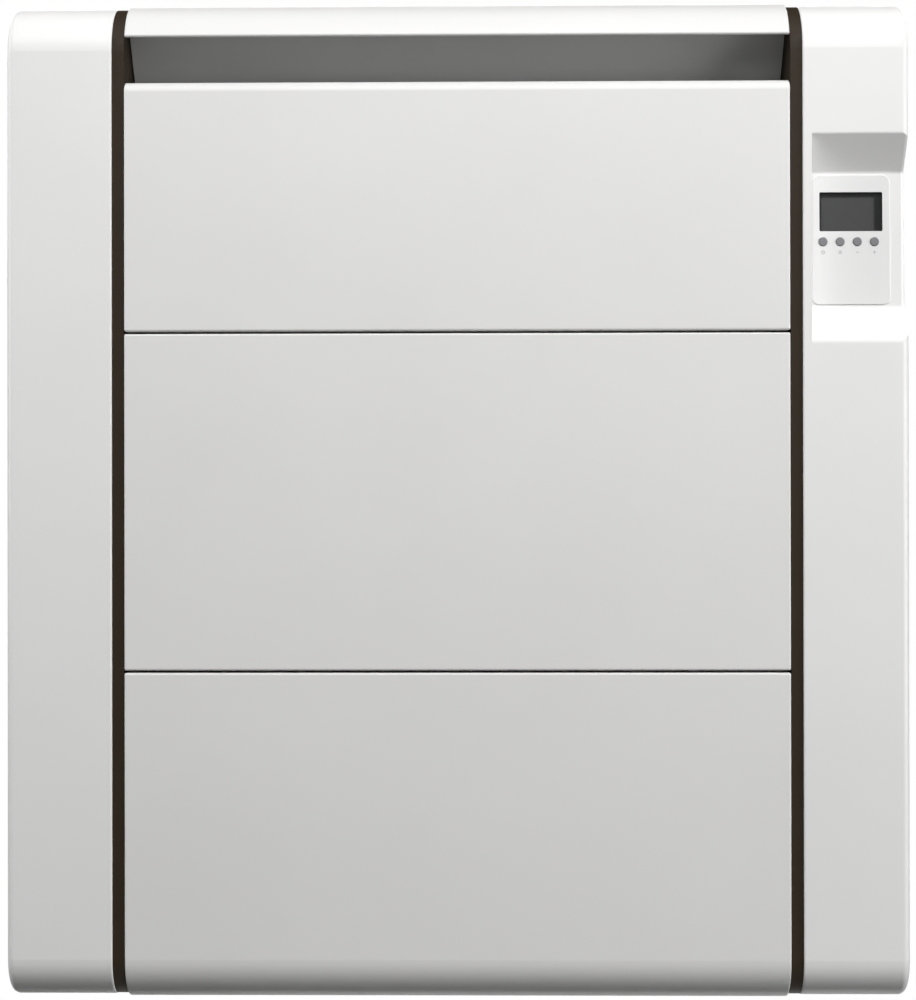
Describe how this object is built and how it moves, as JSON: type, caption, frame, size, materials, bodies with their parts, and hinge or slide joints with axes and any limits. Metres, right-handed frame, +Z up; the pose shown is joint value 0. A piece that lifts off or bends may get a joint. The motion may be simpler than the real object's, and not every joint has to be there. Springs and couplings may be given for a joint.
{
  "type": "electric radiator",
  "caption": "Wall-hung electric radiator with finned heating panels between moulded side covers, a warm-air slot under the top rail and a recessed control panel with display and keys.",
  "frame": {"origin": "on the wall plane, at the centre of the four wall fixings, level with the middle of the radiator", "axes": "+X to the right seen from the front, +Y towards the wall, +Z up; the front faces -Y"},
  "size_m": [0.533, 0.098, 0.592],
  "materials": {
    "moulded_white": "satin white moulding",
    "fascia_white": "gloss white moulding",
    "panel_white": "white powder coat on aluminium",
    "rail_white": "white powder coat on extruded aluminium",
    "frame_dark": "dark heat-proof moulding",
    "sheet_white": "white painted sheet steel",
    "sheet_zinc": "zinc-coated sheet steel",
    "sheet_grey": "light grey coated sheet steel",
    "foil": "bright rolled aluminium",
    "rod_steel": "heat-tinted steel sheath",
    "screw_zinc": "bright zinc plate",
    "lens": "clear window",
    "lcd": "dark liquid-crystal cell",
    "holder": "black moulding",
    "key_grey": "grey moulded caps",
    "rocker_black": "black moulding",
    "board_green": "solder-masked glass laminate",
    "socket_white": "ivory nylon",
    "winding": "varnished core and winding",
    "can": "sleeved can",
    "tag_brass": "tinned brass",
    "limiter": "ceramic body",
    "sensor": "dipped bead",
    "lead_brown": "silicone sleeve",
    "cable_grey": "grey sleeve"
  },
  "bodies": {
    "wall_rails": {"upper_wall_rail": "sheet_zinc", "lower_wall_rail": "sheet_zinc"},
    "radiator": {"left_side_cover": "moulded_white", "right_side_cover": "moulded_white", "control_fascia": "fascia_white", "upper_heating_panel": "panel_white", "middle_heating_panel": "panel_white", "lower_heating_panel": "panel_white", "top_rail": "rail_white", "left_end_frame": "frame_dark", "right_end_frame": "frame_dark", "back_panel": "sheet_white", "inlet_grille": "sheet_white", "deflector_spacers": "sheet_zinc", "shield_spacers": "sheet_zinc", "sensor_bracket": "sheet_zinc", "air_deflector": "sheet_grey", "heat_shield": "foil", "upper_fin_pack": "foil", "middle_fin_pack": "foil", "lower_fin_pack": "foil", "heating_rod_upper": "rod_steel", "heating_rod_middle": "rod_steel", "heating_rod_lower": "rod_steel", "panel_screws": "screw_zinc", "rail_screws": "screw_zinc", "cover_screws": "screw_zinc", "back_panel_screws": "screw_zinc", "board_screws": "screw_zinc", "standoff_screws": "screw_zinc", "display_lens": "lens", "lcd_module": "lcd", "lcd_holder": "holder", "key_switches": "holder", "power_relay": "holder", "mains_switch_body": "holder", "gland_nut": "holder", "cable_gland": "holder", "control_board": "board_green", "power_board": "board_green", "cable_sockets": "socket_white", "board_standoffs": "socket_white", "terminal_block": "socket_white", "terminal_bracket": "socket_white", "load_terminals": "socket_white", "power_transformer": "winding", "filter_capacitor": "can", "switch_tags": "tag_brass", "thermal_cutout": "limiter", "room_sensor": "sensor", "element_leads": "lead_brown", "cutout_leads": "lead_brown", "switch_leads": "lead_brown", "control_cable": "cable_grey"},
    "rocker": {"mains_rocker": "rocker_black"},
    "standby_button": {"standby_key": "key_grey"},
    "mode_button": {"mode_key": "key_grey"},
    "minus_button": {"minus_key": "key_grey"},
    "plus_button": {"plus_key": "key_grey"}
  },
  "joints": [
    {"name": "lift_off", "type": "slide", "parent": "wall_rails", "child": "radiator", "axis": [0, 0, 1], "range_m": [0, 0.012]},
    {"name": "mains_rocker_tip", "type": "hinge", "parent": "radiator", "child": "rocker", "pos_m": [0.2644, -0.046, -0.196], "axis": [0, -1, 0], "range_deg": [0, 20]},
    {"name": "standby_key_press", "type": "slide", "parent": "radiator", "child": "standby_button", "axis": [0, 0.9997, -0.0248], "range_m": [0, 0.0006], "stiffness_N_per_m": 2500},
    {"name": "mode_key_press", "type": "slide", "parent": "radiator", "child": "mode_button", "axis": [0, 0.9997, -0.0248], "range_m": [0, 0.0006], "stiffness_N_per_m": 2500},
    {"name": "minus_key_press", "type": "slide", "parent": "radiator", "child": "minus_button", "axis": [0, 0.9997, -0.0248], "range_m": [0, 0.0006], "stiffness_N_per_m": 2500},
    {"name": "plus_key_press", "type": "slide", "parent": "radiator", "child": "plus_button", "axis": [0, 0.9997, -0.0248], "range_m": [0, 0.0006], "stiffness_N_per_m": 2500}
  ]
}
